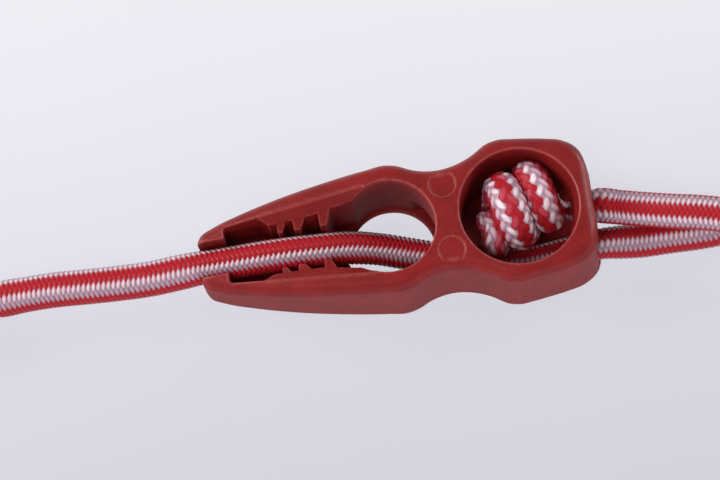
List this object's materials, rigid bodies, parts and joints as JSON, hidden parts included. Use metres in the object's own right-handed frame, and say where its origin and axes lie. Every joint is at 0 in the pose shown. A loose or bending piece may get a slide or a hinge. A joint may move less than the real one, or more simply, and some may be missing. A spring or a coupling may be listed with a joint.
{
  "type": "shock cord grip",
  "caption": "Moulded plastic cord grip with toothed jaws, springy ring and knot chamber, threaded with a braided elastic cord that loops back through the jaws.",
  "frame": {"origin": "centre of the clip's flat back, on the surface that it lies on, measured without the cord", "axes": "+X along the clip from the jaw tips to the knot chamber, +Y across the clip, +Z out of the open front of the chamber"},
  "size_m": [0.197, 0.0352, 0.017],
  "materials": {
    "clip_plastic": "satin, fine moulding grain",
    "braid": "tight red and white braid",
    "rubber_core": "matt latex strands"
  },
  "bodies": {
    "clip": {"clip_body": "clip_plastic", "stopper_knot_sheath": "braid", "loop_sheath": "braid", "gripped_run_sheath": "braid", "tail_sheath": "braid", "tail_knot_sheath": "braid", "stopper_knot_core": "rubber_core", "loop_core": "rubber_core", "gripped_run_core": "rubber_core", "tail_core": "rubber_core", "tail_knot_core": "rubber_core"},
    "upper_jaw": {"upper_jaw": "clip_plastic"},
    "lower_jaw": {"lower_jaw": "clip_plastic"}
  },
  "joints": [
    {"name": "upper_jaw_flex", "type": "hinge", "parent": "clip", "child": "upper_jaw", "pos_m": [0.00219, 0.00914, 0.0085], "axis": [0, 0, -1], "range_deg": [0, 5], "stiffness_Nm_per_rad": 8},
    {"name": "lower_jaw_flex", "type": "hinge", "parent": "clip", "child": "lower_jaw", "pos_m": [0.00219, -0.00914, 0.0085], "axis": [0, 0, 1], "range_deg": [0, 5], "stiffness_Nm_per_rad": 8}
  ],
  "couplings": [
    {"joint": "lower_jaw_flex", "follows": "upper_jaw_flex", "ratio": 1}
  ]
}
